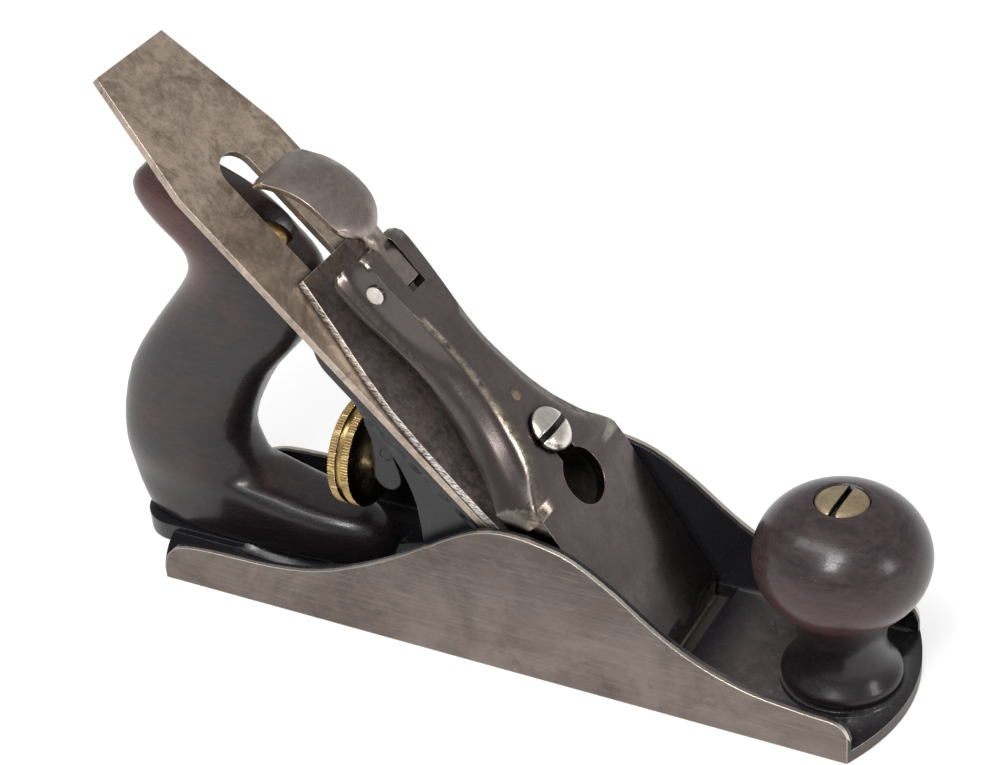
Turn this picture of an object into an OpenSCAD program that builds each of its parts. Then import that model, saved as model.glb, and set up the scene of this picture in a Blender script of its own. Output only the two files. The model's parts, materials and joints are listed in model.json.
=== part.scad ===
// Metal smoothing plane of the small pattern: iron body, separate frog, screw-fed cutting iron,
// lever cap with a cam, and a turned knob and a shaped tote in dark wood.
// The origin is on the sole, midway between toe and heel. X runs to the toe, Z up.

/* [Body casting] */
// Length of the sole along the middle
sole_len = 213.4; // [200:0.2:240]
// Width over the ground side walls, for a standard one and three quarter inch iron
body_w = 52; // [46:0.5:60]
// Thickness of the sole
sole_t = 3.6; // [3:0.1:4.4]
// Thickness of the side walls
wall_t = 2.4; // [2:0.1:2.8]
// Height of the side walls at their crest
crest_h = 44.2; // [38:0.2:50]
// Height of the side walls at their low place behind the crest
valley_h = 13.6; // [11:0.2:17]
// Height of the side walls at the toe
toe_wall_h = 12; // [9:0.2:16]
// How far the toe bows forward of its corners
toe_bow = 7; // [4:0.5:10]
// How far the heel bows back from its corners
heel_bow = 8.5; // [5:0.5:11]
// Distance from the toe back to the cutting edge
mouth_from_toe = 61.3; // [58:0.1:66]
// Gap between the cutting edge and the front of the mouth
mouth_gap = 2.6; // [1.2:0.1:3]
// Height of the seat that carries the frog
frog_seat_z = 8; // [7:0.1:10]

/* [Cutting iron and cap iron] */
// Room between each side wall and the cutting iron
iron_gap = 1.375; // [0.8:0.025:2]
// Thickness of the cutting iron
iron_t = 2.1; // [1.8:0.05:2.6]
// Length of the cutting iron
iron_len = 207; // [190:1:220]
// Width of the cutting iron across its top end
iron_top_w = 28.8; // [24:0.2:40]
// Length of the iron's tapered top
iron_taper_len = 36; // [25:1:50]
// Width of the long slot in the iron
slot_w = 11.6; // [11.2:0.1:12.4]
// Distance from the cutting edge to the top end of the slot
slot_top_u = 172.6; // [160:0.2:180]
// Thickness of the cap iron
cap_iron_t = 2.2; // [1.8:0.1:2.6]
// Distance from the cutting edge to the top of the cap iron
cap_iron_top_u = 136; // [133:0.5:142]
// Width of the cap iron across its top end
cap_iron_top_w = 24.8; // [20:0.2:30]
// How far the cap iron is set back from the cutting edge
cap_iron_set = 1.2; // [0.8:0.1:2]

/* [Lever cap] */
// How much the lever cap is narrower than the cutting iron
lever_cap_inset = 0.05; // [0.05:0.05:1]
// Distance from the cutting edge to the top of the lever cap
lever_cap_top_u = 131; // [128:0.5:134]
// Thickness of the lever cap's plate
lever_cap_t = 3; // [2.4:0.1:3.4]
// Half width of the lever cap's face at its narrow neck
neck_half = 6.5; // [6:0.1:8]
// Width of each fluted flank
flank_w = 3.6; // [3:0.1:4.4]
// Diameter of the lever cap screw's head
cap_screw_head_d = 12.3; // [11:0.1:13]
// Diameter of the large end of the keyhole
keyhole_d = 15; // [13.6:0.1:16]
// Diameter of the cam lever's hinge pin
cam_pin_d = 4.9; // [4:0.1:5.2]
// Width of the cam lever's thumb piece at its tip
thumb_w = 19.4; // [16:0.2:24]

/* [Frog and adjuster] */
// Room between each side wall and the frog
frog_gap = 2.1; // [1:0.1:3]
// Thickness of the frog's bed plate
frog_plate_t = 2.9; // [2.6:0.1:4]
// Thickness of the frog's side webs
frog_web_t = 4; // [3:0.2:5]
// Diameter of the knurled adjusting wheel
wheel_d = 29.6; // [26:0.2:32]
// Thickness of the knurled adjusting wheel
wheel_t = 6.1; // [5:0.1:7]
// Diameter of the adjusting nut's collars
collar_d = 13; // [12:0.1:14]
// Diameter of the adjusting stud
stud_d = 7.1; // [6:0.1:7.4]
// Height of the adjusting stud above the sole
stud_z = 38.9; // [37:0.1:41]

/* [Tote] */
// Thickness of the tote
tote_t = 23.4; // [21:0.2:26]
// Height of the seats under the tote
tote_seat_z = 5.6; // [5:0.1:7]
// Half width of the cast lug under the tote
lug_half_w = 11.5; // [10:0.1:12]
// How far the lug stands out behind the heel
lug_reach = 11.5; // [8:0.1:13]

/* [Knob] */
// Largest diameter of the knob
knob_d = 44; // [40:0.2:48]
// Diameter of the knob's foot
knob_foot_d = 30.6; // [27:0.2:32]
// Overall height of the knob
knob_h = 54; // [48:0.2:58]
// Distance from the toe back to the knob's axis
knob_from_toe = 18.1; // [17:0.1:22]
// Height of the round seat under the knob
knob_seat_z = 5.2; // [4.8:0.1:7]

/* [Handle bolts] */
// Diameter of the brass nuts' heads
nut_head_d = 13.4; // [11:0.1:14]
// Diameter of the steel rods in the knob and the tote
rod_d = 5.6; // [5:0.1:6.4]

/* [Hidden] */
$fn = 64;
fit = 0.05;
toe_x = sole_len / 2;
heel_x = -sole_len / 2;
toe_corner_x = toe_x - toe_bow;
heel_corner_x = heel_x + heel_bow;
edge_x = toe_x - mouth_from_toe;
inner_half = body_w / 2 - wall_t;
knob_x = toe_x - knob_from_toe;
iron_w = 2 * (inner_half - iron_gap);
lever_cap_w = iron_w - lever_cap_inset;
frog_half = inner_half - frog_gap;
frog_screw_y = frog_half - 10.5;
bed_n = -iron_t - fit;
frog_back_n = bed_n - frog_plate_t;
cap_screw_u = 66.5;
cam_pin_u = lever_cap_top_u - 9.8;
cam_pin_n = 14.6;
yoke_u = 88.8;
yoke_n = -19.5;
groove_x = -37.6;
groove_w = 4.4;
hub_t = 2.5;
wheel_front_x = groove_x - groove_w / 2 - hub_t;
rod_lean = 20;
tote_rod_foot_x = -103.7;
foot_z = frog_seat_z;

// A smooth curve through key rows, three steps between neighbours
function mix(p, i, t) =
    let (n = len(p), a = p[max(i - 1, 0)], b = p[i], c = p[min(i + 1, n - 1)], d = p[min(i + 2, n - 1)])
    0.5 * (2 * b + (c - a) * t + (2 * a - 5 * b + 4 * c - d) * t * t
        + (3 * b - a - 3 * c + d) * t * t * t);
function smooth(p, k) = [for (i = [0:len(p) - 2]) for (j = [0:k - 1]) mix(p, i, j / k), p[len(p) - 1]];
function mirrored(p) = concat(p, [for (i = [len(p) - 1:-1:0]) [-p[i][0], p[i][1]]]);

// Skins a stack of closed rings that all have the same number of points
module loft(rings) {
    m = len(rings[0]);
    last = len(rings) - 1;
    sides = [for (i = [0:last - 1]) for (j = [0:m - 1]) let (k = (j + 1) % m)
        each [[i * m + j, i * m + k, (i + 1) * m + k], [i * m + j, (i + 1) * m + k, (i + 1) * m + j]]];
    first_cap = [[for (j = [m - 1:-1:0]) j]];
    last_cap = [[for (j = [0:m - 1]) last * m + j]];
    polyhedron(points = [for (r = rings) each r], faces = concat(sides, first_cap, last_cap), convexity = 8);
}

// Places parts along the bed: X out of the iron's face, Z up the slope from the cutting edge
module bed() {
    translate([edge_x, 0, 0]) rotate([0, -45, 0]) children();
}
// Lays a flat outline drawn as (across, up the slope) on the bed
module on_bed(low, high) {
    translate([low, 0, 0]) rotate([90, 0, 90]) linear_extrude(high - low) children();
}
// Extrudes a side view drawn as (x, z) across the middle plane
module across(w) {
    rotate([90, 0, 0]) linear_extrude(w, center = true) children();
}
// A hole or pin square to the bed
module bed_rod(u, d, low, high) {
    translate([low, 0, u]) rotate([0, 90, 0]) cylinder(h = high - low, d = d);
}
// A rod along Y
module cross_rod(d, w) {
    rotate([90, 0, 0]) cylinder(h = w, d = d, center = true);
}
module slot_outline(w, low, high) {
    translate([0, low]) circle(d = w);
    translate([-w / 2, low]) square([w, high - low - w / 2]);
    translate([0, high - w / 2]) circle(d = w);
}

// Body casting
function bow(x0, depth, half, k) =
    [for (i = [0:k]) let (y = -half + 2 * half * i / k) [x0 + depth * (1 - y * y / half / half), y]];
module plan(inset) {
    half = body_w / 2 - inset;
    polygon(concat(bow(toe_corner_x - inset, toe_bow, half, 20),
        [for (p = bow(heel_corner_x + inset, -heel_bow, half, 20)) [p[0], -p[1]]]));
}
function low_z(h) = valley_h * h / 13.6;
function high_z(h) = valley_h + (crest_h - valley_h) * (h - 13.6) / 30.6;
function toe_z(h) = toe_wall_h * h / 12;
wall_line = [[heel_corner_x + 4, low_z(10.6)], [-90.3, low_z(11.9)], [-85.4, low_z(12.6)],
    [-78.2, low_z(13)], [-62.2, valley_h], [-48.2, high_z(16.1)], [-35.2, high_z(21.3)],
    [-24.2, high_z(27.1)], [-13.2, high_z(34.1)], [-3.2, high_z(40.3)], [4, high_z(43.3)], [10.8, crest_h],
    [18.8, high_z(43.4)], [27.8, high_z(40.9)], [38.8, high_z(33.9)], [49.8, high_z(25.1)],
    [60.8, high_z(18.6)], [73.8, toe_z(14)], [87.8, toe_z(12.2)], [95.3, toe_z(11.7)],
    [98, toe_z(10.7)], [99.4, toe_z(8.9)], [toe_corner_x + 0.5, toe_z(6.6)]];
module wall_side() {
    polygon(concat([[toe_corner_x + 0.6, 0], [heel_corner_x - 0.2, 0], [heel_corner_x + 0.4, 5],
        [heel_corner_x + 1.5, 8]], smooth(wall_line, 3)));
}
module walls() {
    for (s = [-1, 1]) translate([0, s * (body_w - wall_t) / 2, 0]) across(wall_t) wall_side();
}
module wall_fillets() {
    r = 1.1;
    for (s = [0, 1]) mirror([0, s, 0])
        translate([heel_corner_x + 2, 0, sole_t]) rotate([90, 0, 90]) linear_extrude(toe_corner_x - heel_corner_x - 4)
            polygon([[inner_half - r, -0.1], [inner_half + 0.1, -0.1], [inner_half + 0.1, r]]);
}
module heel_lug() {
    linear_extrude(tote_seat_z) hull() {
        translate([heel_x - lug_reach + lug_half_w, 0]) circle(lug_half_w);
        translate([heel_x + 22, 0]) circle(lug_half_w);
    }
}
module tote_front_seat() {
    translate([-52, 0, 0]) cylinder(h = tote_seat_z, r = 8);
    translate([-66, -8, 0]) cube([14, 16, tote_seat_z]);
}
module frog_seat() {
    difference() {
        translate([-17, 1.9 - frog_half, 0]) cube([60, 2 * frog_half - 3.8, foot_z]);
        bed() on_bed(bed_n, 30) square([100, 300], center = true);
    }
}
module mouth_slot() {
    half = iron_w / 2 + 0.6;
    across(2 * half) polygon([[edge_x + bed_n * sqrt(2) + 1, -1], [edge_x + bed_n * sqrt(2) - sole_t - 1, sole_t + 1],
        [edge_x + mouth_gap + 3.7, sole_t + 1], [edge_x + mouth_gap, 0], [edge_x + mouth_gap, -1]]);
}
module tote_axis() {
    translate([tote_rod_foot_x, 0, 0]) rotate([0, rod_lean, 0]) children();
}
module body_holes() {
    translate([knob_x, 0, 1.4]) cylinder(h = 20, d = rod_d - 0.6);
    tote_axis() translate([0, 0, 2.4]) cylinder(h = 24, d = rod_d - 0.6);
    for (s = [-1, 1]) translate([4, s * frog_screw_y, 1.2]) cylinder(h = 20, d = 5.4);
}
module body_casting() {
    color("dimgray") difference() {
        union() {
            difference() {
                union() {
                    linear_extrude(sole_t) plan(0);
                    intersection() {
                        union() {
                            walls();
                            wall_fillets();
                        }
                        translate([0, 0, -1]) linear_extrude(80) plan(0);
                    }
                    frog_seat();
                }
                mouth_slot();
            }
            heel_lug();
            tote_front_seat();
            translate([knob_x, 0, 0]) cylinder(h = knob_seat_z, r = knob_foot_d / 2 + 0.2);
        }
        body_holes();
        translate([0, 0, -5]) cube([400, 100, 10], center = true);
    }
}

// Frog
module frog_outline() {
    r = 11;
    top = 126;
    hull() {
        for (s = [-1, 1]) translate([s * (frog_half - r), top - r]) circle(r);
        translate([-frog_half, 6]) square([2 * frog_half, 1]);
    }
}
web_line = [[-28.1, 64.2], [-25.3, 60.6], [-23.3, 57.6], [-21.4, 54.3], [-19.9, 50.9], [-18.5, 47.2],
    [-17.5, 43], [-17, 38], [-16.6, 32], [-16.3, 24], [-16.1, 17]];
module web_side() {
    polygon(concat([[-33, 72.5], [-31, 67.4]], smooth(web_line, 2), [[-16, foot_z + fit], [60, foot_z + fit]]));
}
module cheek_side() {
    polygon(concat([[-29.5, 68], [-36.6, 66.5], [-36.4, 57], [-35, 53], [-34.7, 47], [-35, 43]],
        [for (a = [180:18:360]) [-31.3 + 3.7 * cos(a), 41.7 + 3.7 * sin(a)]],
        [[-27.9, 44.4], [-29, 48], [-29.6, 52], [-29.6, 60]]));
}
module frog_webs() {
    for (s = [-1, 1]) translate([0, s * (frog_half - frog_web_t / 2), 0]) across(frog_web_t) web_side();
}
module frog_mass() {
    bed() on_bed(frog_back_n, bed_n) frog_outline();
    bed() bed_rod(cap_screw_u, 12, frog_back_n - 3.4, bed_n - 1);
    frog_webs();
    translate([-15.5, 0.5 - frog_half, foot_z + fit]) cube([60, 2 * frog_half - 1, 5.6]);
    translate([-20, 0, stud_z]) rotate([0, 90, 0]) cylinder(h = 26, d = 15);
    across(10) polygon([[-14, stud_z], [-3, stud_z], [-3, foot_z + 2], [-10, foot_z + 2]]);
    for (s = [-1, 1]) translate([0, s * 9.8, 0]) across(4.6) cheek_side();
}
module frog_cuts() {
    bed() {
        on_bed(bed_n, 60) translate([0, 100]) square([100, 400], center = true);
        on_bed(frog_back_n - 12, 1) slot_outline(7.4, 86, 94);
        bed_rod(cap_screw_u, 6.2, frog_back_n - 2.8, 1);
        on_bed(frog_back_n - 12, bed_n + 1) slot_outline(17, 107.6, 118);
    }
    translate([-21, 0, stud_z]) rotate([0, 90, 0]) cylinder(h = 10.8, d = stud_d - 0.6);
    for (s = [-1, 1], x = [3.4, 5.6]) translate([x, s * frog_screw_y, 0]) {
        cylinder(h = 60, d = 6.4);
        translate([0, 0, foot_z + fit + 5.6]) cylinder(h = 8.6, d = 13);
    }
    bed() translate([yoke_n, 0, yoke_u]) cross_rod(3.6, 30);
}
module frog() {
    color("darkslategray") difference() {
        intersection() {
            frog_mass();
            translate([0, 0, foot_z + fit + 100]) cube([200, 2 * frog_half, 200], center = true);
        }
        frog_cuts();
    }
}
module frog_screws() {
    z = foot_z + 2 * fit + 5.6 + 1.6;
    color("gray") for (s = [-1, 1]) translate([4, s * frog_screw_y, 0]) difference() {
        union() {
            translate([0, 0, 1.4]) cylinder(h = z - 1.2, d = 5.2);
            translate([0, 0, z]) cylinder(h = 3.2, d = 9.6);
            translate([0, 0, z + 3.2]) cylinder(h = 0.8, d1 = 9.6, d2 = 7.6);
        }
        translate([0, 0, z + 4]) cube([12, 1.3, 3.4], center = true);
    }
}
module frog_washers() {
    color("silver") for (s = [-1, 1]) translate([4, s * frog_screw_y, foot_z + 2 * fit + 5.6]) difference() {
        cylinder(h = 1.6, d = 12);
        translate([0, 0, -1]) cylinder(h = 4, d = 5.4);
    }
}

// Yoke lever, its pin, and the adjusting nut on its stud
fork_tip = [groove_x, stud_z];
module yoke_side() {
    polygon([[yoke_n - 4, yoke_u - 5], [yoke_n - 4, yoke_u + 5], [yoke_n + 3, yoke_u + 4.2],
        [frog_back_n - 1, yoke_u + 3], [0.6, yoke_u + 2.2], [1.8, yoke_u], [0.6, yoke_u - 2.2],
        [frog_back_n - 1, yoke_u - 3], [yoke_n + 3, yoke_u - 4.2]]);
}
module yoke_lever() {
    pivot_x = edge_x - (yoke_u - yoke_n) / sqrt(2);
    pivot_z = (yoke_u + yoke_n) / sqrt(2);
    color("slategray") difference() {
        union() {
            bed() across(6) yoke_side();
            across(14) polygon([[pivot_x - 4, pivot_z + 2], [pivot_x + 2, pivot_z - 4.4],
                [groove_x + 3.4, stud_z + 7.2], [groove_x + 1.2, stud_z + 6.4],
                [groove_x + 1.2, stud_z - 3], [groove_x - 1.2, stud_z - 3],
                [groove_x - 1.2, stud_z + 8.5]]);
        }
        translate([groove_x, 0, 0]) across(8.9) polygon([[-8, stud_z - 10], [8, stud_z - 10],
            [8, stud_z + 5.4], [-8, stud_z + 5.4]]);
        bed() translate([yoke_n, 0, yoke_u]) cross_rod(3.7, 30);
    }
}
module yoke_pin() {
    color("silver") bed() translate([yoke_n, 0, yoke_u]) cross_rod(3.5, 24);
}
module adjusting_nut() {
    front = groove_x + groove_w / 2;
    back = wheel_front_x - wheel_t;
    teeth = 116;
    color("gold") translate([0, 0, stud_z]) rotate([0, 90, 0]) difference() {
        union() {
            translate([0, 0, back]) linear_extrude(wheel_t * 0.36) knurl(teeth);
            translate([0, 0, back + wheel_t * 0.35]) cylinder(h = wheel_t * 0.3, d = wheel_d - 1.8);
            translate([0, 0, back + wheel_t * 0.64]) linear_extrude(wheel_t * 0.36) knurl(teeth);
            translate([0, 0, wheel_front_x - 0.1]) cylinder(h = hub_t + 0.1, d = collar_d);
            translate([0, 0, front - groove_w - 0.1]) cylinder(h = groove_w + 0.2, d = 8.6);
            translate([0, 0, front]) cylinder(h = 1.6, d = collar_d);
        }
        translate([0, 0, back - 1]) cylinder(h = 30, d = stud_d + 2 * fit);
    }
}
module knurl(teeth) {
    r = wheel_d / 2;
    polygon([for (i = [0:2 * teeth - 1]) let (a = 180 * i / teeth, q = r - 0.4 * (i % 2))
        [q * cos(a), q * sin(a)]]);
}
module adjusting_stud() {
    back = wheel_front_x - wheel_t - 2;
    color("gray") translate([back, 0, stud_z]) rotate([0, 90, 0]) union() {
        cylinder(h = 0.8, d1 = stud_d - 1.6, d2 = stud_d);
        translate([0, 0, 0.8]) cylinder(h = -20.1 - back - 0.8, d = stud_d);
        translate([0, 0, -20.5 - back]) cylinder(h = 10, d = stud_d - 0.6);
    }
}

// Cutting iron, cap iron and the screw between them
iron_key_u = 66;
cap_screw2_u = 108;
module iron_outline() {
    w = iron_w / 2;
    t = iron_top_w / 2;
    polygon([[-w, 0], [w, 0], [w, iron_len - iron_taper_len], [t, iron_len], [-t, iron_len],
        [-w, iron_len - iron_taper_len]]);
}
module cutting_iron() {
    color("slategray") bed() difference() {
        on_bed(-iron_t, 0) iron_outline();
        on_bed(-iron_t - 1, 1) slot_outline(slot_w, iron_key_u, slot_top_u);
        on_bed(-iron_t - 1, 1) translate([0, iron_key_u]) circle(d = 19);
        across(80) polygon([[0.001, 0.15], [-12, 12.15], [-12, -9], [0.001, -9]]);
    }
}
function cap_curve() = [[0, cap_iron_set], [2.6, 3.2], [3.9, 5.8], [4.25, 8.6], [3.6, 13],
    [cap_iron_t + 0.4, 18], [cap_iron_t, 24]];
module cap_iron_side() {
    top = smooth(cap_curve(), 3);
    low = [for (i = [len(top) - 1:-1:3]) [top[i][0] - cap_iron_t + 0.001, top[i][1] + 0.6]];
    polygon(concat(top, [[cap_iron_t, cap_iron_top_u], [0, cap_iron_top_u]], low));
}
module cap_iron_outline() {
    w = iron_w / 2 - 0.25;
    t = cap_iron_top_w / 2 + 0.2;
    k = cap_iron_top_u;
    half = [[w, 0], [w, k - 64], [w - 0.4, k - 49], [w - 1.1, k - 39], [w - 2.7, k - 29], [t + 2.9, k - 13.5], [t, k]];
    polygon(concat(half, [for (i = [6:-1:0]) [-half[i][0], half[i][1]]]));
}
module cap_iron() {
    color("gray") bed() difference() {
        intersection() {
            across(iron_w) cap_iron_side();
            on_bed(-1, 9) cap_iron_outline();
        }
        on_bed(-1, 9) slot_outline(7, cap_screw_u - 6, cap_screw_u + 12);
        translate([1, 0, yoke_u]) cube([6, 8, 4.8], center = true);
        bed_rod(cap_screw2_u, 7.8, -1, 9);
    }
}
module cap_iron_screw() {
    color("gray") bed() difference() {
        union() {
            bed_rod(cap_screw2_u, 7.8, -iron_t, cap_iron_t);
            bed_rod(cap_screw2_u, 15, -iron_t - 2.2, -iron_t);
        }
        translate([-iron_t - 2.2, 0, cap_screw2_u]) cube([2, 1.4, 18], center = true);
    }
}

// Lever cap: rows of distance up the slope, height of the face, half width of the face, foot of the
// flank, width of the flank, and its form: 0 a roll, 1 a cove above a bead, 2 a hollow above a bead
side = lever_cap_w / 2;
function under(u) = lever_cap_t * min(1, 0.12 + u / 30);
lower_rows = [for (q = [[5, 5.4, 4.54], [11, 6.2, 4.74], [17.5, 7.4, 5.29], [23, 8.9, 6.24], [29, 10.2, 6.4],
    [42, 13, 5.1], [50, 14.8, 4.8]]) [q[0], q[1], side + 1.4, min(q[2], q[1] - under(q[0])), 3, 0]];
upper_rows = [[54.5, 15.5, side + 0.4, 4.8, flank_w + 1, 0], [57.4, 16.1, side - 2, 4.9, flank_w + 1.4, 0],
    [60, 16.4, 17.9, 5.2, flank_w + 1.4, 0], [63, 16.7, 15.4, 5, flank_w + 1.4, 0.5],
    [66.5, 16.8, 13.4, 5, flank_w + 1.4, 1], [71, 16.8, 11.2, 5, flank_w + 1.3, 1],
    [74, 16.8, 10.1, 5.1, flank_w + 1.2, 1], [77.5, 16.9, 9, 5.3, flank_w + 1.1, 1],
    [81.4, 17, 8.05, 5.8, flank_w + 1.1, 1], [87, 17.2, 7.1, 6.4, flank_w + 1.1, 1],
    [95, 17.2, neck_half, 7.3, flank_w + 0.6, 1.3], [103, 17.5, 7, 7.4, flank_w + 0.2, 1.7],
    [111, 17.9, 8.1, 7.8, flank_w, 2], [119, 18.3, 9, 8, flank_w, 2], [126, 18.9, 9.2, 8.3, flank_w, 2]];
end_rows = [[lever_cap_top_u - 2.6, 18.9, 9.1, 8.4, flank_w, 2], [lever_cap_top_u - 1, 18, 8.7, 8.9, flank_w, 2],
    [lever_cap_top_u + 0.3, 16.2, 7.9, 9.6, flank_w, 2], [lever_cap_top_u + 4, 15.2, 7.6, 9.6, flank_w, 2]];
flank_forms = [
    [[0.2, 0.91], [0.43, 0.77], [0.61, 0.64], [0.77, 0.47], [0.9, 0.25], [1, 0.06]],
    [[0.1, 0.85], [0.28, 0.72], [0.6, 0.58], [0.8, 0.45], [0.93, 0.27], [1, 0.06]],
    [[0.07, 0.85], [0.12, 0.62], [0.26, 0.4], [0.5, 0.26], [0.86, 0.19], [1, 0.1]]];
function flank(s) = let (i = s < 1 ? 0 : 1, t = min(1, max(0, s - i)))
    (1 - t) * flank_forms[i] + t * flank_forms[i + 1];
// Half of a section, from the crowned middle down the flank to its foot
function cap_outer(n, c, foot, f, s) =
    concat([[0, n + 0.45], [c * 0.55, n + 0.3], [c - 0.25, n]],
        [for (q = flank(s)) [c + f * q[0], foot + (n - foot) * q[1]]], [[c + f, foot]]);
// Half of the hollow side, from the flank's foot back to the middle
function cap_inner(u, n, c, foot, f) = let (q = n - under(u) - foot, w = 1.7, m = side - w)
    [[min(m, c + f - w), foot], [min(m, c + 0.6 * f - w), foot + 0.15 * q + 0.002],
        [min(m, c - 1.4), foot + 0.5 * q + 0.004], [min(m, c - 1.6), foot + 0.97 * q + 0.006], [0.6 * c, foot + q + 0.008]];
function cap_ring(u, n, c, foot, f, s) =
    let (half = concat(cap_outer(n, c, foot, f, s), cap_inner(u, n, c, foot, f)), last = len(half) - 1,
        ring = concat(half, [[0, n - under(u)]], [for (i = [last:-1:1]) [-half[i][0], half[i][1]]]))
    [for (i = [len(ring) - 1:-1:0]) [ring[i][1], -ring[i][0], u]];
module lever_cap_shell() {
    loft([for (r = concat(smooth(concat(lower_rows, upper_rows), 2), end_rows))
        cap_ring(r[0], r[1], r[2], r[3], r[4], r[5])]);
}
// A round outline made of short flats that clear a true circle of the same diameter
module disc(d) {
    k = 40;
    polygon([for (i = [0:k - 1]) let (a = 360 * (i + 0.5) / k, r = d / 2 / cos(180 / k)) [r * cos(a), r * sin(a)]]);
}
module keyhole() {
    translate([0, cap_screw_u - 14.5]) disc(keyhole_d);
    translate([-3.5, cap_screw_u - 14.5]) square([7, 14.5]);
    translate([0, cap_screw_u]) disc(7.04);
}
// Trims the top end square and opens the cut-out in which the cam swings
module end_and_cutout(half, top, bottom) {
    polygon([[-60, top], [-half, top], [-half, bottom], [half, bottom], [half, top], [60, top],
        [60, top + 19], [-60, top + 19]]);
}
module lever_cap() {
    color("gray") bed() difference() {
        lever_cap_shell();
        on_bed(0, 40) keyhole();
        for (s = [-1, 1]) on_bed(-3, 43) translate([s * (side + 10), 70]) square([20, 160], center = true);
        on_bed(-3, 43) end_and_cutout(3.25, lever_cap_top_u, cam_pin_u - 5.9);
        translate([cam_pin_n, 0, cam_pin_u]) across(60) disc(cam_pin_d);
        on_bed(0, 40) translate([0, 78.7]) disc(3);
    }
}
module lever_cap_screw() {
    top = 17.5;
    r = cap_screw_head_d / 2;
    color("silver") bed() difference() {
        union() {
            bed_rod(cap_screw_u, 5.6, frog_back_n - 2.6, top + 0.5);
            translate([top, 0, cap_screw_u]) rotate([0, 90, 0]) rotate_extrude()
                polygon([[0, 0], [r, 0], [r, 1], [0.96 * r, 1.4], [0.86 * r, 1.95], [0.72 * r, 2.4], [0.55 * r, 2.75],
                    [0.36 * r, 2.98], [0.18 * r, 3.1], [0, 3.14]]);
        }
        translate([top + 2.9, 0, cap_screw_u]) cube([3.4, 20, 1.7], center = true);
    }
}

// Cam lever: thumb piece as a curved, crowned strip, and a cam in one piece with it
thumb_rows = [[129.5, 17.6, 3, 17.2], [132.6, 19, 3.2, 18.2], [134.6, 20.2, 5.6, 18.7], [137, 20.9, 8.2, 19],
    [140.5, 21.3, 9.7, 19.4], [144.8, 21.5, 10.1, 19.4], [148.9, 21.4, 10.1, 18.8], [152.6, 20.3, 10.1, 17.5],
    [155.6, 18.4, 10.1, 15.8], [158.2, 15.5, 10.1, 13.7], [160.2, 12.8, 10.1, 12], [161.4, 10.8, 10.1, 10.5],
    [162.4, 9.2, 10.1, 9.1]];
module thumb_plan() {
    hull() {
        for (s = [-1, 1]) translate([s * (thumb_w / 2 - 3), 158.2]) circle(4);
        translate([-thumb_w / 2 - 1, 110]) square([thumb_w + 2, 10]);
    }
}
module thumb_piece() {
    k = thumb_w / 20.2;
    rows = smooth(thumb_rows, 3);
    last = len(rows) - 1;
    loft([for (i = [0:last])
        let (r = rows[i], a = rows[max(i - 1, 0)], b = rows[min(i + 1, last)],
            d = [b[0] - a[0], b[1] - a[1]] / norm([b[0] - a[0], b[1] - a[1]]), t = 1.9)
        concat([for (j = [5:-1:-5]) thumb_point(r, j / 5, k, d, 0)],
            [for (j = [-5:5]) thumb_point(r, j / 5, k, d, t)])]);
}
function thumb_point(r, q, k, d, t) =
    [r[3] + (r[1] - r[3]) * (1 - q * q) - t * d[0], r[2] * k * q * (t > 0 ? 0.93 : 1), r[0] + t * d[1]];
module cam_side() {
    r0 = [[-90, 11.1], [-70, 10.8], [-45, 8.8], [-20, 6.6], [10, 5.2], [40, 4.6], [90, 3.9], [120, 3.9],
        [150, 3.9], [180, 4.1], [215, 5.6], [245, 8.2]];
    polygon([for (q = smooth(r0, 3)) [cam_pin_n + q[1] * sin(q[0]), cam_pin_u + q[1] * cos(q[0])]]);
    polygon([[cam_pin_n - 1.5, cam_pin_u + 3], [cam_pin_n, cam_pin_u - 4], [cam_pin_n + 2.6, cam_pin_u - 4.1],
        [cam_pin_n + 3.7, cam_pin_u - 3.7], [18.75, cam_pin_u + 4], [18.7, 130], [19.1, 133.8],
        [16, 133.8], [15.2, 130]]);
}
module cam_lever() {
    color("rosybrown") bed() difference() {
        union() {
            across(6.2) cam_side();
            intersection() {
                thumb_piece();
                on_bed(-5, 45) thumb_plan();
            }
        }
        translate([cam_pin_n, 0, cam_pin_u]) cross_rod(cam_pin_d + 2 * fit, 30);
    }
}
module cam_pin() {
    color("silver") bed() translate([cam_pin_n, 0, cam_pin_u]) cross_rod(cam_pin_d, 20.6);
}
module cap_spring() {
    color("slategray") bed() difference() {
        across(9.4) polygon([[13.3, 72], [13.3, 84], [3.5, 112], [3.3, 128], [2.4, 128], [2.6, 111.6],
            [12.4, 83.6], [12.4, 72]]);
        bed_rod(78.7, 3, 0, 30);
    }
}
module spring_rivet() {
    color("silver") bed() union() {
        bed_rod(78.7, 3, 12.4, 17.25);
        bed_rod(78.7, 5, 11.6, 12.4);
    }
}

// Tote: rows of rear x, rear z, front x, front z, half thickness as a share
tote_rows = [[-116.6, tote_seat_z + fit, -40.2, tote_seat_z + fit, 0.93], [-118.4, 7.4, -39.6, 7.6, 0.98],
    [-119.6, 11, -40, 12, 0.99],
    [-120.7, 14.6, -42.6, 15.8, 0.96], [-121.2, 18, -47.6, 18.4, 0.95], [-121.5, 21, -57.5, 20.2, 0.95],
    [-121.7, 24, -68, 22.4, 0.96], [-121.5, 28, -76.6, 24.2, 0.98], [-121.1, 32.5, -80.2, 30, 1],
    [-119.6, 41, -81.6, 37.6, 1], [-115, 54.2, -77, 48.6, 1], [-107.4, 65.8, -70.4, 59.4, 1],
    [-98.6, 77, -61.4, 69.4, 1], [-92.4, 85.4, -57, 77, 1], [-90.4, 91.5, -54.3, 84, 1],
    [-92.4, 97.6, -52.8, 90.4, 1], [-100.2, 104.6, -54.4, 94.9, 1], [-104.3, 110.2, -57.7, 98.5, 0.97],
    [-103.4, 114, -60.9, 101.7, 0.94], [-99.9, 116.6, -65, 104.8, 0.87], [-96, 117.9, -70, 107.6, 0.74]];
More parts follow.
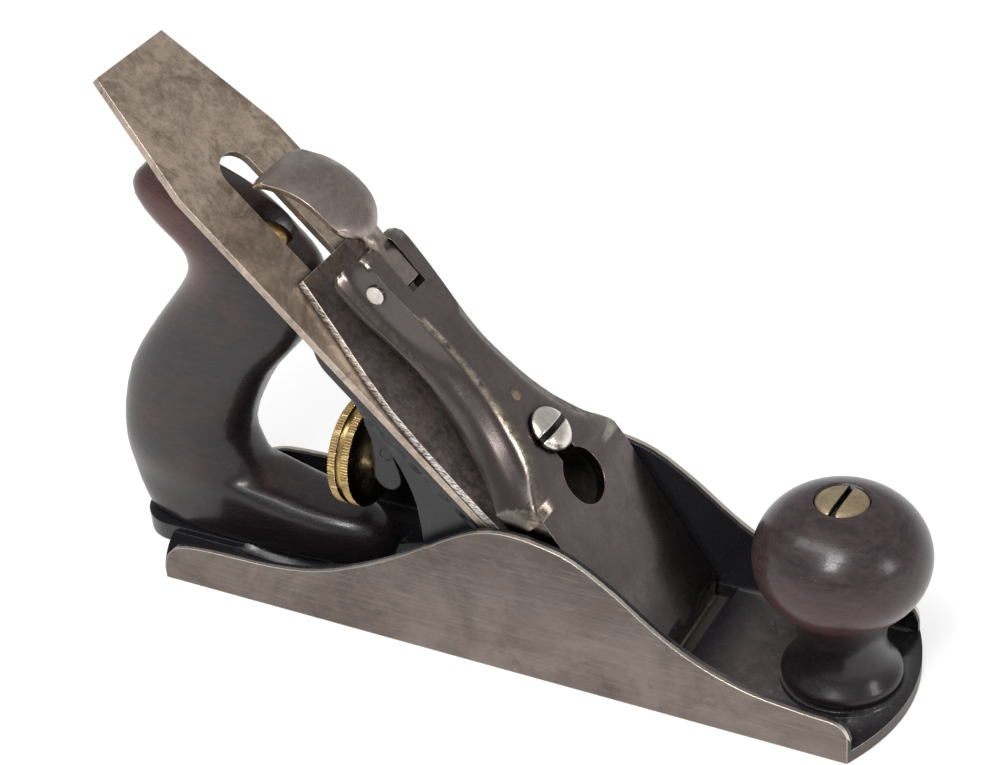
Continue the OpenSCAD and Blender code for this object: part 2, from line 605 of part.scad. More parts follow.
module tote_body() {
    k = 36;
    rows = smooth(tote_rows, 2);
    loft([for (r = rows)
        let (c = [(r[0] + r[2]) / 2, (r[1] + r[3]) / 2], h = [(r[2] - r[0]) / 2, (r[3] - r[1]) / 2])
        [for (i = [0:k - 1]) let (a = 360 * i / k, ca = cos(a), sa = sin(a),
            px = sign(ca) * pow(abs(ca), 0.8), py = sign(sa) * pow(abs(sa), 0.8))
            [c[0] + h[0] * px, tote_t / 2 * r[4] * py, c[1] + h[1] * px]]]);
}
tote_rod_len = 109.5;
module tote() {
    color("sienna") difference() {
        tote_body();
        tote_axis() {
            translate([0, 0, -5]) cylinder(h = 130, d = rod_d + 1);
            translate([0, 0, tote_rod_len - 6]) cylinder(h = 40, d = nut_head_d + 0.6);
        }
    }
}
module tote_rod() {
    color("gray") tote_axis() translate([0, 0, 2.5]) union() {
        cylinder(h = 7, d = rod_d - 0.6);
        translate([0, 0, 6]) cylinder(h = tote_rod_len - 13.7, d = rod_d);
    }
}
module slotted_nut(bore_depth) {
    difference() {
        union() {
            cylinder(h = 3, d = nut_head_d);
            translate([0, 0, 3]) cylinder(h = 0.8, d1 = nut_head_d, d2 = nut_head_d - 3);
            translate([0, 0, -bore_depth]) cylinder(h = bore_depth + 1, d = rod_d + 0.9);
        }
        translate([0, 0, 3.6]) cube([30, 1.6, 3.2], center = true);
    }
}
module tote_nut() {
    color("gold") tote_axis() translate([0, 0, tote_rod_len - 6]) rotate([0, 0, -25]) difference() {
        slotted_nut(4);
        translate([0, 0, -10]) cylinder(h = 11, d = rod_d);
    }
}

// Knob: a flattened ball on a waisted neck and a beaded foot
module knob_side() {
    r = knob_d / 2;
    f = knob_foot_d / 2;
    k = (knob_h - 36.6) / 17.3;
    low = [[f - 1.2, 0], [f - 0.35, 0.7], [f, 1.8], [f - 0.35, 3], [f - 1.5, 4.4], [f - 2.9, 6.4], [f - 3.85, 8.8],
        [f - 4.3, 11.4], [f - 4.2, 14.6], [f - 3.1, 18.6]];
    ball = [for (a = [-50:9:85]) [r * pow(cos(a), 0.94), 36.6 + 17.3 * k * sin(a)]];
    difference() {
        polygon(concat([[0, 0]], smooth(concat(low, ball), 2), [[0, knob_h]]));
        square([rod_d / 2 + 0.5, 200], center = false);
    }
}
module knob() {
    color("sienna") translate([knob_x, 0, knob_seat_z]) difference() {
        rotate_extrude($fn = 96) knob_side();
        translate([0, 0, knob_h - 4.2]) cylinder(h = 30, d = nut_head_d + 0.6);
        translate([0, 0, -1]) cylinder(h = 90, d = rod_d + 1);
    }
}
module knob_rod() {
    color("gray") translate([knob_x, 0, 0]) union() {
        translate([0, 0, 1.5]) cylinder(h = 8, d = rod_d - 0.6);
        translate([0, 0, knob_seat_z + 3]) cylinder(h = knob_h - 9, d = rod_d);
    }
}
module knob_nut() {
    color("gold") translate([knob_x, 0, knob_seat_z + knob_h - 4.2]) rotate([0, 0, 87]) difference() {
        slotted_nut(3);
        translate([0, 0, -10]) cylinder(h = 9, d = rod_d);
    }
}

body_casting();
frog();
frog_screws();
frog_washers();
yoke_lever();
yoke_pin();
adjusting_nut();
adjusting_stud();
cutting_iron();
cap_iron();
cap_iron_screw();
lever_cap();
lever_cap_screw();
cam_lever();
cam_pin();
cap_spring();
spring_rivet();
tote();
tote_rod();
tote_nut();
knob();
knob_rod();
knob_nut();
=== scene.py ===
"""A small iron smoothing plane on a pale floor, dressed with procedural materials."""
import json
import math

import bmesh
import bpy
from mathutils import Matrix, Quaternion, Vector


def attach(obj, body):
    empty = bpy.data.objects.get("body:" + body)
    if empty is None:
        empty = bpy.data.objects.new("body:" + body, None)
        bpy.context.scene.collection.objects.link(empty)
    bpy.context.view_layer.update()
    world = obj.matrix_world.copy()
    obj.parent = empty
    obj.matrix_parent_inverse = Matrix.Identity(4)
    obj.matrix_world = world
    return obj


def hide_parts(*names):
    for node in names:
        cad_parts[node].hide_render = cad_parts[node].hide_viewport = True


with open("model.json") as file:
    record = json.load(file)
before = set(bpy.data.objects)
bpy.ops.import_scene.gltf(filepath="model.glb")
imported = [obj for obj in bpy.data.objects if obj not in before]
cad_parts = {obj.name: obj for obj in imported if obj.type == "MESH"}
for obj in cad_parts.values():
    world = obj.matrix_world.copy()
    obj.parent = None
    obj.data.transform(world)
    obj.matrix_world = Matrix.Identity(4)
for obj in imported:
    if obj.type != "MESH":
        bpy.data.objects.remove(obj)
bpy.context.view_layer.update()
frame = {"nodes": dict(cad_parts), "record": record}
NODES = frame["nodes"]

BODY_HALF = 0.026
RIM_INNER = 0.0248
TOE_X = 0.09
FLOOR_TOP = 0.00362
FLOOR_DROP = 0.0002
QUARTER = math.pi / 4
EDGE_X = 0.0454
KNOB_X = 0.0886
BODIES = frame["record"]["behaviour"]["bodies"]


class Shader:
    """A material with short calls for the nodes used here. Lengths are in metres."""

    def __init__(self, name):
        self.material = bpy.data.materials.new(name)
        self.material.use_nodes = True
        self.tree = self.material.node_tree
        self.surface = self.tree.nodes["Principled BSDF"]
        self.place = self.node("ShaderNodeTexCoord").outputs["Object"]
        self.soft = None

    def node(self, kind, **settings):
        made = self.tree.nodes.new(kind)
        for key, value in settings.items():
            setattr(made, key, value)
        return made

    def link(self, source, socket):
        if isinstance(source, (int, float)):
            socket.default_value = source
        elif isinstance(source, tuple):
            socket.default_value = (*source, 1.0) if len(source) == 3 and len(socket.default_value) == 4 else source
        else:
            self.tree.links.new(source, socket)

    def math(self, operation, a, b=0.0):
        node = self.node("ShaderNodeMath", operation=operation)
        self.link(a, node.inputs[0])
        self.link(b, node.inputs[1])
        return node.outputs[0]

    def times(self, first, *others):
        for other in others:
            first = self.math("MULTIPLY", first, other)
        return first

    def stretched(self, scale, turn=(0.0, 0.0, 0.0)):
        node = self.node("ShaderNodeMapping")
        self.link(self.place, node.inputs["Vector"])
        node.inputs["Rotation"].default_value = turn
        node.inputs["Scale"].default_value = scale
        return node.outputs[0]

    def noise(self, scale, vector=None, detail=6.0, rough=0.6, twist=0.0):
        node = self.node("ShaderNodeTexNoise")
        self.link(vector or self.place, node.inputs["Vector"])
        node.inputs["Scale"].default_value = scale
        node.inputs["Detail"].default_value = detail
        node.inputs["Roughness"].default_value = rough
        node.inputs["Distortion"].default_value = twist
        return node.outputs["Fac"]

    def steps(self, value, low, high, out_low=0.0, out_high=1.0):
        node = self.node("ShaderNodeMapRange")
        for socket, number in zip(("From Min", "From Max", "To Min", "To Max"), (low, high, out_low, out_high)):
            node.inputs[socket].default_value = number
        self.link(value, node.inputs["Value"])
        return node.outputs["Result"]

    def mix(self, share, a, b):
        node = self.node("ShaderNodeMix", data_type="RGBA")
        self.link(share, node.inputs[0])
        self.link(a, node.inputs[6])
        self.link(b, node.inputs[7])
        return node.outputs[2]

    def axis(self, name, source=None):
        node = self.node("ShaderNodeSeparateXYZ")
        self.link(source or self.place, node.inputs[0])
        return node.outputs[name]

    def facing(self, direction, normal="True Normal"):
        """How far a face looks along a fixed direction."""
        node = self.node("ShaderNodeVectorMath", operation="DOT_PRODUCT")
        self.link(self.node("ShaderNodeNewGeometry").outputs[normal], node.inputs[0])
        node.inputs[1].default_value = direction
        return node.outputs["Value"]

    def off_line(self, point, keep):
        """Distance from a point, with the axes whose keep is 0 left out."""
        place = self.node("ShaderNodeMapping", vector_type="TEXTURE")
        self.link(self.place, place.inputs["Vector"])
        place.inputs["Location"].default_value = point
        flat = self.node("ShaderNodeVectorMath", operation="MULTIPLY")
        self.link(place.outputs[0], flat.inputs[0])
        flat.inputs[1].default_value = keep
        node = self.node("ShaderNodeVectorMath", operation="LENGTH")
        self.link(flat.outputs[0], node.inputs[0])
        return node.outputs["Value"]

    def band(self, point, across, half):
        """1 in a straight band through a point, where the slot of a screw gets painted shade."""
        node = self.node("ShaderNodeVectorMath", operation="DOT_PRODUCT")
        self.link(self.place, node.inputs[0])
        node.inputs[1].default_value = across
        middle = sum(a * b for a, b in zip(point, across))
        gap = self.math("ABSOLUTE", self.math("SUBTRACT", node.outputs["Value"], middle))
        return self.math("LESS_THAN", gap, half)

    def edges(self, radius, low=0.02, high=0.16):
        """1 along the corners of the solid, 0 on its faces; also keeps the rounded normal."""
        bevel = self.node("ShaderNodeBevel", samples=6)
        bevel.inputs["Radius"].default_value = radius
        self.soft = bevel.outputs["Normal"]
        node = self.node("ShaderNodeVectorMath", operation="DOT_PRODUCT")
        self.link(self.node("ShaderNodeNewGeometry").outputs["True Normal"], node.inputs[0])
        self.link(self.soft, node.inputs[1])
        return self.steps(self.math("SUBTRACT", 1.0, node.outputs["Value"]), low, high)

    def hollow_shade_mask(self, reach, low=0.45, high=0.95):
        """1 deep in slots and corners, 0 in the open: the mask for painted shade in recesses."""
        node = self.node("ShaderNodeAmbientOcclusion", samples=6)
        node.inputs["Distance"].default_value = reach
        return self.steps(node.outputs["AO"], low, high, 1.0, 0.0)

    def bump(self, height, depth, strength=1.0, normal=None):
        node = self.node("ShaderNodeBump")
        node.inputs["Strength"].default_value = strength
        node.inputs["Distance"].default_value = depth
        self.link(height, node.inputs["Height"])
        if normal or self.soft:
            self.link(normal or self.soft, node.inputs["Normal"])
        return node.outputs[0]

    def finish(self, colour, roughness, metal, normal=None, coat=0.0, gloss=0.5):
        self.link(colour, self.surface.inputs["Base Color"])
        self.link(roughness, self.surface.inputs["Roughness"])
        self.link(metal, self.surface.inputs["Metallic"])
        if normal:
            self.link(normal, self.surface.inputs["Normal"])
        self.surface.inputs["Coat Weight"].default_value = coat
        self.surface.inputs["Coat Roughness"].default_value = 0.14
        self.surface.inputs["Specular IOR Level"].default_value = gloss
        return self.material


def worn_metal(name, light, dark, stain, shine, rough, grain, turn=(0.0, 0.0, 0.0), stain_from=0.52,
               wear=0.6, fine_share=0.4, corner=(0.00045, 0.02, 0.16), sides=None, wheel_face_shade=None, reach=0.0022, slot=None, metal=1.0, flank_shade=None, blotch=0.6, coat=0.0):
    """Aged metal: fine marks along one way, mottled tone, stains, pits, bright corners, painted shade in recesses
    and screw slots, optional painted shade on flanks and wheel faces.
    """
    s = Shader(name)
    worn = s.edges(*corner)
    fine = s.noise(1.0, s.stretched(grain, turn), 3.0, 0.7)
    mottled = s.noise(190.0, detail=8.0, rough=0.75, twist=0.4)
    cloud = s.noise(48.0, detail=8.0, rough=0.66, twist=0.8)
    speckle = s.noise(620.0, detail=3.0, rough=0.7)
    tone = s.math("ADD", s.math("ADD", s.times(mottled, 0.4), s.times(cloud, 0.35)), s.times(speckle, 0.25))
    blot = s.steps(s.noise(85.0, detail=9.0, rough=0.72, twist=0.9), stain_from, stain_from + 0.14)
    pits = s.steps(s.noise(1100.0, detail=2.0), 0.65, 0.75)
    colour = s.mix(s.steps(tone, 0.43, 0.57), dark, light)
    colour = s.mix(s.times(s.steps(fine, 0.5, 0.75), fine_share), colour, light)
    colour = s.mix(s.times(blot, blotch), colour, stain)
    colour = s.mix(s.times(pits, 0.55), colour, stain)
    broken = s.steps(s.noise(420.0, detail=4.0, rough=0.7), 0.34, 0.6)
    if sides:
        tint, ticks, share = sides
        nicks = s.steps(s.noise(1.0, s.stretched(ticks, turn), 3.0, 0.8), 0.42, 0.56)
        flank = s.steps(s.math("ABSOLUTE", s.facing((0.0, 1.0, 0.0))), 0.7, 0.9)
        colour = s.mix(s.times(flank, nicks, share), colour, tint)
    # painted shade: flanks and the lower part darkened towards a shade colour
    if flank_shade:
        flank = s.steps(s.math("ABSOLUTE", s.facing((0.0, 1.0, 0.0), "Normal")), 0.2, 0.55, 0.0, 0.85)
        low = s.steps(s.axis("Z"), 0.02, 0.048, 0.6, 0.0)
        colour = s.mix(s.math("MAXIMUM", flank, low), colour, flank_shade)
    # painted shade on both disc faces of the wheel, outside the hub
    if wheel_face_shade:
        height, inner = wheel_face_shade
        disc = s.steps(s.math("ABSOLUTE", s.facing((1.0, 0.0, 0.0))), 0.7, 0.9)
        outer = s.math("GREATER_THAN", s.off_line((0.0, 0.0, height), (0.0, 1.0, 1.0)), inner)
        colour = s.mix(s.times(disc, outer, 0.93), colour, (0.03, 0.024, 0.018))
    colour = s.mix(s.times(worn, broken, wear), colour, shine)
    # painted shade: near black in recesses and corners
    colour = s.mix(s.times(s.hollow_shade_mask(reach), 0.85), colour, (0.016, 0.013, 0.011))
    # painted shade along a screw's slot
    if slot:
        colour = s.mix(s.times(s.band(*slot), 0.93), colour, (0.01, 0.008, 0.007))
    roughness = s.math("ADD", s.steps(mottled, 0.25, 0.75, rough + 0.09, rough - 0.06), s.times(blot, 0.12))
    height = s.math("SUBTRACT", s.math("ADD", fine, s.times(mottled, 0.6)), pits)
    return s.finish(colour, roughness, metal, s.bump(height, 0.00003, 0.5), coat)


def casting_material():
    """Ground metal on the sides, sole and edges, black japanning inside."""
    s = Shader("casting")
    worn = s.edges(0.0005)
    across = s.math("ABSOLUTE", s.axis("Y"))
    height = s.axis("Z")
    outside = s.math("GREATER_THAN", across, BODY_HALF - 0.0003)
    sole = s.math("LESS_THAN", height, 0.0003)
    front = s.math("GREATER_THAN", s.axis("X"), TOE_X)
    toe = s.times(s.math("GREATER_THAN", s.facing((1.0, 0.0, 0.0)), 0.35), front, s.math("LESS_THAN", height, FLOOR_TOP))
    upward = s.math("GREATER_THAN", s.facing((0.0, 0.0, 1.0)), 0.2)
    ragged = s.math("ADD", across, s.times(s.math("SUBTRACT", s.noise(260.0, detail=4.0), 0.5), 0.0009))
    rim = s.times(s.math("GREATER_THAN", ragged, RIM_INNER), upward, s.math("GREATER_THAN", height, 0.004))
    ground = s.math("MAXIMUM", s.math("MAXIMUM", outside, sole), s.math("MAXIMUM", rim, toe))
    scratches = s.noise(1.0, s.stretched((70.0, 60.0, 1500.0)), 5.0, 0.75)
    slanted = s.noise(1.0, s.stretched((90.0, 60.0, 1700.0), (0.0, 0.3, 0.0)), 2.0, 0.6)
    cloud = s.noise(34.0, detail=8.0, rough=0.65, twist=0.8)
    mottled = s.noise(190.0, detail=7.0, rough=0.72)
    rust = s.steps(s.noise(95.0, detail=9.0, rough=0.74), 0.54, 0.68)
    grey = s.mix(s.steps(cloud, 0.38, 0.62), (0.13, 0.104, 0.092), (0.215, 0.179, 0.161))
    # painted shade: the upper part of the sides darker
    grey = s.mix(s.steps(height, 0.014, 0.034, 0.0, 0.6), grey, (0.1, 0.082, 0.077))
    grey = s.mix(s.times(s.steps(mottled, 0.46, 0.64), 0.5), grey, (0.2, 0.162, 0.14))
    grey = s.mix(s.times(s.steps(scratches, 0.48, 0.7), 0.24), grey, (0.34, 0.3, 0.275))
    grey = s.mix(s.times(s.steps(slanted, 0.62, 0.74), 0.18), grey, (0.42, 0.39, 0.36))
    grey = s.mix(s.times(rust, 0.6), grey, (0.12, 0.088, 0.07))
    # painted shade: the toe's front face darkened
    grey = s.mix(s.times(toe, 0.75), grey, (0.085, 0.073, 0.07))
    grey = s.mix(s.times(rim, 0.8), grey, (0.8, 0.73, 0.64))
    grey = s.mix(s.times(worn, 0.8), grey, (0.82, 0.76, 0.68))
    dust = s.steps(s.noise(300.0, detail=7.0, rough=0.78), 0.56, 0.8)
    front_dust = s.steps(s.axis("X"), 0.045, 0.075, 0.1, 0.7)
    before_knob = s.times(s.steps(s.axis("X"), 0.052, 0.064), s.steps(s.axis("X"), 0.074, 0.088, 1.0, 0.1))
    # dust and a painted sheen: upward faces between mouth and knob made lighter
    toe_dust_and_sheen = s.times(before_knob, upward, s.steps(mottled, 0.3, 0.7, 0.5, 1.0))
    black = s.mix(toe_dust_and_sheen, (0.011, 0.0105, 0.0125), (0.1, 0.084, 0.083))
    black = s.mix(s.times(dust, front_dust), black, (0.095, 0.085, 0.078))
    black = s.mix(s.times(worn, s.steps(dust, 0.0, 0.4), 0.4), black, (0.2, 0.19, 0.18))
    peel = s.noise(420.0, detail=3.0)
    colour = s.mix(ground, black, grey)
    bright = s.steps(s.math("ADD", s.times(scratches, 0.5), s.times(mottled, 0.5)), 0.35, 0.65, 0.5, 0.34)
    dull = s.math("ADD", s.steps(peel, 0.3, 0.7, 0.2, 0.32), s.times(dust, 0.35))
    roughness = s.math("ADD", s.times(ground, bright), s.times(s.math("SUBTRACT", 1.0, ground), dull))
    lines = s.times(s.math("ADD", s.times(s.math("ADD", scratches, slanted), 0.5), s.times(mottled, 0.7)), ground)
    relief = s.math("ADD", lines, s.times(peel, 0.8))
    return s.finish(colour, roughness, ground, s.bump(relief, 0.00003, 0.6))


def japan_material():
    s = Shader("japanning")
    worn = s.edges(0.0005)
    peel = s.noise(380.0, detail=4.0)
    chips = s.steps(s.noise(230.0, detail=8.0, rough=0.8), 0.62, 0.78)
    colour = s.mix(s.times(chips, 0.45), (0.011, 0.011, 0.0135), (0.08, 0.075, 0.07))
    colour = s.mix(s.times(worn, s.steps(peel, 0.4, 0.6), 0.4), colour, (0.2, 0.19, 0.18))
    roughness = s.math("ADD", s.steps(peel, 0.3, 0.7, 0.24, 0.36), s.times(chips, 0.25))
    return s.finish(colour, roughness, 0.0, s.bump(s.math("SUBTRACT", peel, chips), 0.00005, 0.5))


def wood_material(name, grain, turn, tones, reddish, wear_and_reflection, warm, darker_below):
    """Rosewood under old varnish: near black, faint bands, open pores, worn reddish patches, and a warm patch from a
    given mask, worn finish on the handle and a painted reflection on the knob.
    """
    s = Shader(name)
    along = s.stretched(grain, turn)
    bands = s.noise(1.0, along, 8.0, 0.62, 0.7)
    streaks = s.noise(3.4, along, 4.0, 0.75, 0.3)
    pores = s.steps(s.noise(9.0, along, 2.0, 0.5), 0.6, 0.7)
    patch = s.steps(s.noise(24.0, detail=6.0, rough=0.6, twist=0.6), 0.53, 0.66)
    # warm patch: real wear on the handle, painted reflected light round the knob's ball
    wear_and_reflection_share = s.times(wear_and_reflection(s), s.steps(streaks, 0.3, 0.62, 0.35, 1.0))
    colour = s.mix(s.steps(bands, 0.38, 0.64), *tones)
    colour = s.mix(s.times(s.steps(streaks, 0.54, 0.7), 0.35), colour, (0.06, 0.026, 0.02))
    colour = s.mix(s.times(patch, s.steps(streaks, 0.42, 0.6), reddish), colour, (0.11, 0.04, 0.027))
    colour = s.mix(s.times(wear_and_reflection_share, 0.85), colour, warm)
    # darker towards the bottom of the piece
    low, high = darker_below
    colour = s.mix(s.steps(s.axis("Z"), low, high, 0.8, 0.0), colour, (0.006, 0.0045, 0.006))
    colour = s.mix(s.times(pores, 0.6), colour, (0.005, 0.0035, 0.0045))
    roughness = s.math("ADD", s.steps(streaks, 0.3, 0.7, 0.25, 0.34), s.times(patch, 0.08))
    relief = s.math("SUBTRACT", s.times(bands, 0.35), pores)
    return s.finish(colour, roughness, 0.0, s.bump(relief, 0.00005, 0.4), 0.2, 0.36)


def red_neck(s):
    """1 at the back of the handle's neck, where the hand has worn through the dark finish."""
    return s.steps(s.off_line((-0.096, 0.0, 0.099), (1.0, 0.0, 1.0)), 0.002, 0.024, 1.0, 0.0)


def ball_reflection_ring(s):
    """1 in a ring round the lower part of the knob's ball, where a warm reflection is painted."""
    height = s.axis("Z")
    return s.times(s.steps(height, 0.0262, 0.0292), s.steps(height, 0.033, 0.048, 1.0, 0.0))


def fine_copy(name, sharp, dissolve=0.0, bevel=0.0):
    """A smooth-shaded copy that stands for the CAD solid, with corners kept above an angle."""
    mesh = NODES[name].data.copy()
    piece = bpy.data.objects.new(name + "_dressed", mesh)
    bpy.context.scene.collection.objects.link(piece)
    shape = bmesh.new()
    shape.from_mesh(mesh)
    bmesh.ops.remove_doubles(shape, verts=shape.verts, dist=0.000004)
    if dissolve:
        bmesh.ops.dissolve_limit(shape, angle_limit=math.radians(dissolve), verts=shape.verts, edges=shape.edges)
    shape.to_mesh(mesh)
    shape.free()
    mesh.shade_smooth()
    mesh.set_sharp_from_angle(angle=math.radians(sharp))
    if bevel:
        rounding = piece.modifiers.new("corner", "BEVEL")
        rounding.width = bevel
        rounding.segments = 2
        rounding.limit_method = "ANGLE"
        rounding.angle_limit = math.radians(sharp)
        rounding.harden_normals = True
    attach(piece, next(body for body, names in BODIES.items() if name in names))
    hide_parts(name)
    return piece


def dress():
    """Gives every piece its material."""
    along_bed = (500.0, 2400.0, 60.0)
    turned = (0.0, QUARTER, 0.0)
    up_bed = (-math.sin(QUARTER), 0.0, math.cos(QUARTER))
    steel = worn_metal("iron_patina", (0.66, 0.535, 0.432), (0.37, 0.292, 0.235), (0.18, 0.126, 0.088),
                       (0.85, 0.75, 0.64), 0.48, along_bed, turned, 0.5, 0.7, blotch=0.75,
                       sides=((0.45, 0.38, 0.32), (700.0, 700.0, 900.0), 0.8))
    brown = worn_metal("cap_iron_patina", (0.24, 0.196, 0.183), (0.08, 0.063, 0.06), (0.2, 0.108, 0.066),
                       (0.95, 0.88, 0.8), 0.42, along_bed, turned, 0.52, 0.95, 0.25,
                       sides=((0.95, 0.9, 0.84), (500.0, 500.0, 2600.0), 0.9), metal=0.75)
    plated = worn_metal("dull_plating", (0.185, 0.152, 0.142), (0.137, 0.111, 0.104), (0.08, 0.06, 0.052),
                        (0.6, 0.5, 0.38), 0.27, (300.0, 300.0, 300.0), stain_from=0.6, wear=0.65, fine_share=0.15,
                        corner=(0.00035, 0.018, 0.11), flank_shade=(0.076, 0.061, 0.058), coat=0.5)
    rivet = worn_metal("worn_rivet", (0.5, 0.385, 0.28), (0.36, 0.27, 0.195), (0.2, 0.15, 0.11),
                       (0.5, 0.4, 0.3), 0.4, (900.0, 900.0, 900.0))
    thumb = worn_metal("thumb_plating", (0.39, 0.325, 0.3), (0.27, 0.223, 0.206), (0.16, 0.125, 0.108),
                       (0.75, 0.62, 0.48), 0.3, (300.0, 300.0, 300.0), stain_from=0.58, wear=0.7, fine_share=0.15,
                       corner=(0.0004, 0.018, 0.13))
    bright = worn_metal("bright_nickel", (0.8, 0.74, 0.69), (0.58, 0.53, 0.49), (0.3, 0.26, 0.23),
                        (0.95, 0.93, 0.9), 0.28, (900.0, 1500.0, 500.0), stain_from=0.6, wear=0.3, reach=0.003)
    screw = worn_metal("screw_nickel", (0.88, 0.82, 0.76), (0.62, 0.57, 0.52), (0.3, 0.26, 0.23),
                       (0.95, 0.93, 0.9), 0.26, (900.0, 1500.0, 500.0), stain_from=0.6, wear=0.3, reach=0.003,
                       slot=((EDGE_X - 0.0665 * up_bed[2], 0.0, 0.0665 * up_bed[2]), up_bed, 0.00086))
    dark = worn_metal("dark_steel", (0.3, 0.27, 0.25), (0.16, 0.143, 0.13), (0.09, 0.07, 0.055),
                      (0.5, 0.46, 0.42), 0.4, (400.0, 400.0, 400.0))
    brass = worn_metal("aged_brass", (0.8, 0.57, 0.25), (0.55, 0.36, 0.14), (0.25, 0.15, 0.06),
                       (0.95, 0.8, 0.5), 0.27, (1200.0, 700.0, 700.0), stain_from=0.6)
    wheel_brass = worn_metal("wheel_brass", (0.86, 0.59, 0.25), (0.58, 0.37, 0.13), (0.25, 0.15, 0.06),
                             (0.98, 0.83, 0.52), 0.27, (1200.0, 700.0, 700.0), stain_from=0.6,
                             wheel_face_shade=(0.0389, 0.0068))
    knob_turn = math.radians(87)
    dull_brass = worn_metal("dull_brass", (0.6, 0.48, 0.3), (0.42, 0.32, 0.2), (0.2, 0.13, 0.07),
                            (0.75, 0.64, 0.42), 0.34, (700.0, 700.0, 1200.0), stain_from=0.56, reach=0.003,
                            slot=((KNOB_X, 0.0, 0.0), (-math.sin(knob_turn), math.cos(knob_turn), 0.0), 0.00082))
    casting = casting_material()
    japan = japan_material()
    tote_wood = wood_material("tote_rosewood", (170.0, 420.0, 900.0), (0.0, 0.5, 0.0),
                              ((0.0105, 0.0072, 0.0095), (0.026, 0.0155, 0.018)), 0.6, red_neck,
                              (0.19, 0.068, 0.048), (0.008, 0.03))
    knob_wood = wood_material("knob_rosewood", (120.0, 420.0, 900.0), (0.0, 0.08, 0.3),
                              ((0.024, 0.0155, 0.018), (0.052, 0.032, 0.036)), 0.25, ball_reflection_ring,
                              (0.115, 0.05, 0.047), (0.02, 0.028))
    table = {
        "body_casting": casting, "frog": japan, "yoke_lever": japan,
        "cutting_iron": steel, "cap_iron": brown,
        "lever_cap": plated, "cam_lever": thumb,
        "lever_cap_screw": screw, "cam_pin": bright, "spring_rivet": rivet, "yoke_pin": japan,
        "adjusting_nut": wheel_brass, "tote_nut": brass, "knob_nut": dull_brass,
        "tote": tote_wood, "knob": knob_wood,
    }
    for name, piece in NODES.items():
        piece.data.materials.clear()
        piece.data.materials.append(table.get(name, dark))
    for name, sharp in SMOOTH.items():
        fine_copy(name, sharp)


SMOOTH = {"tote": 50.0, "knob": 50.0, "lever_cap": 24.0, "cam_lever": 40.0, "cap_iron": 24.0, "body_casting": 16.0,
          "lever_cap_screw": 26.0, "adjusting_nut": 30.0, "tote_nut": 30.0, "knob_nut": 30.0, "cutting_iron": 28.0, "frog": 28.0}


def stage():
    """A white floor that sweeps up into a low round wall and keeps a soft shadow, with a dark shadow painted under
    the plane's footprint.
    """
    arc = [math.radians(90 * step / SWEEP_STEPS) for step in range(SWEEP_STEPS + 1)]
    profile = [(0.3, 0.0)] + [(FLOOR_REACH + SWEEP * math.sin(a), SWEEP * (1.0 - math.cos(a))) for a in arc]
    profile.append((FLOOR_REACH + SWEEP, WALL_TOP))
    shape = bmesh.new()
    rings = []
    for reach, rise in profile:
        turns = (math.tau * step / RING for step in range(RING))
        rings.append([shape.verts.new((reach * math.cos(t), reach * math.sin(t), rise - FLOOR_DROP)) for t in turns])
    shape.faces.new(rings[0])
    for inner, outer in zip(rings, rings[1:]):
        for step in range(RING):
            after = (step + 1) % RING
            shape.faces.new((inner[step], outer[step], outer[after], inner[after]))
    mesh = bpy.data.meshes.new("floor")
    shape.to_mesh(mesh)
    shape.free()
    mesh.shade_smooth()
    floor = bpy.data.objects.new("floor", mesh)
    bpy.context.scene.collection.objects.link(floor)
    s = Shader("floor_paper")
    grain = s.noise(300.0, detail=3.0)
    # painted shadow under the plane's footprint: dark floor colour and no white emission there
    within = s.math("LESS_THAN", s.math("ABSOLUTE", s.axis("X")), 0.09)
    footprint_shadow = s.times(within, s.math("LESS_THAN", s.math("ABSOLUTE", s.axis("Y")), 0.0245))
    tone = s.mix(footprint_shadow, (0.45, 0.45, 0.45), (0.035, 0.028, 0.024))
    paper = s.finish(tone, s.steps(grain, 0.0, 1.0, 0.7, 0.85), 0.0)
    seen = s.node("ShaderNodeLightPath")
    direct = s.math("MAXIMUM", seen.outputs["Is Camera Ray"], seen.outputs["Is Glossy Ray"])
    direct = s.math("MAXIMUM", direct, seen.outputs["Is Transmission Ray"])
    open_floor = s.math("SUBTRACT", 1.0, footprint_shadow)
    s.surface.inputs["Emission Color"].default_value = (1.0, 1.0, 1.0, 1.0)
    s.link(s.times(direct, open_floor, FLOOR_GLOW), s.surface.inputs["Emission Strength"])
    floor.data.materials.append(paper)


FLOOR_GLOW = 0.66
FLOOR_REACH = 3.9
SWEEP = 0.3
SWEEP_STEPS = 8
WALL_TOP = 0.42
RING = 96


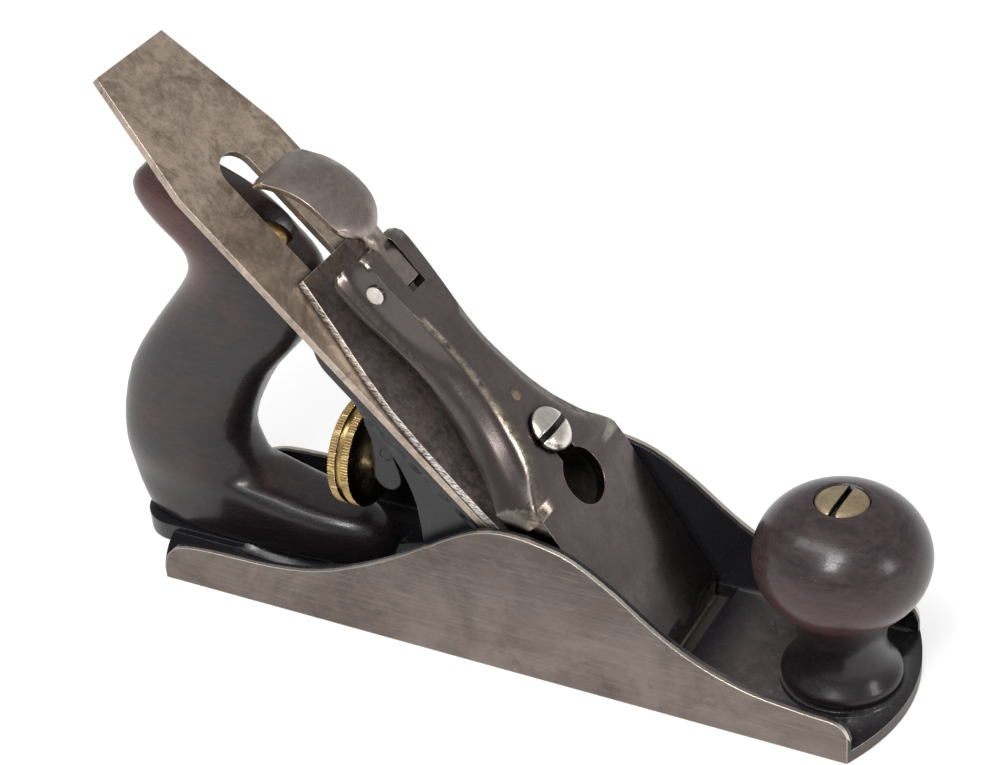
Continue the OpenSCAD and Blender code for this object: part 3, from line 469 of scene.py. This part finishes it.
def soft_lamp(name, place, across, deep, power, aim=(0.0, 0.0, 0.04), turn=0.0):
    lamp = bpy.data.lights.new(name, "AREA")
    lamp.shape = "RECTANGLE"
    lamp.size = across
    lamp.size_y = deep
    lamp.energy = power
    holder = bpy.data.objects.new(name, lamp)
    bpy.context.scene.collection.objects.link(holder)
    holder.location = place
    facing = (Vector(aim) - Vector(place)).to_track_quat("-Z", "Y")
    holder.rotation_euler = (facing @ Quaternion((0.0, 0.0, 1.0), turn)).to_euler()


def lighting():
    """A pale room with a strip light above and three small lamps, as their reflections in the knob show."""
    world = bpy.data.worlds.new("soft_room")
    bpy.context.scene.world = world
    world.use_nodes = True
    tree = world.node_tree
    background = tree.nodes["Background"]
    background.inputs["Color"].default_value = (1.0, 1.0, 1.0, 1.0)
    background.inputs["Strength"].default_value = ROOM_GLOW
    soft_lamp("strip_above", (-0.22, -0.42, 1.0), 1.2, 0.22, 4.2, turn=STRIP_TURN)
    soft_lamp("lamp_front", (0.13, -0.79, 0.8), 0.22, 0.2, 3.6)
    soft_lamp("lamp_high", (0.15, -0.6, 0.93), 0.3, 0.2, 2.6)
    soft_lamp("lamp_right", (1.09, -0.09, 0.48), 0.24, 0.3, 1.8)


STRIP_TURN = 0.24
ROOM_GLOW = 0.46


def camera():
    """The photograph's viewpoint, found from the edges of the plane."""
    turn, lift, roll = (math.radians(a) for a in (30.071, 33.275, -5.101))
    back = Vector((math.sin(turn) * math.cos(lift), -math.cos(turn) * math.cos(lift), math.sin(lift)))
    right = Vector((0.0, 0.0, 1.0)).cross(back).normalized()
    up = back.cross(right)
    across = math.cos(roll) * right + math.sin(roll) * up
    upward = -math.sin(roll) * right + math.cos(roll) * up
    data = bpy.data.cameras.new("view")
    data.sensor_width = 36.0
    data.lens = 89.95
    data.clip_start = 0.01
    eye = bpy.data.objects.new("view", data)
    bpy.context.scene.collection.objects.link(eye)
    place = Matrix((across, upward, back)).transposed().to_4x4()
    place.translation = Vector((0.2603, -0.4538, 0.4147))
    eye.matrix_world = place
    bpy.context.scene.camera = eye


dress()
stage()
lighting()
camera()
bpy.context.scene.view_settings.view_transform = "Standard"
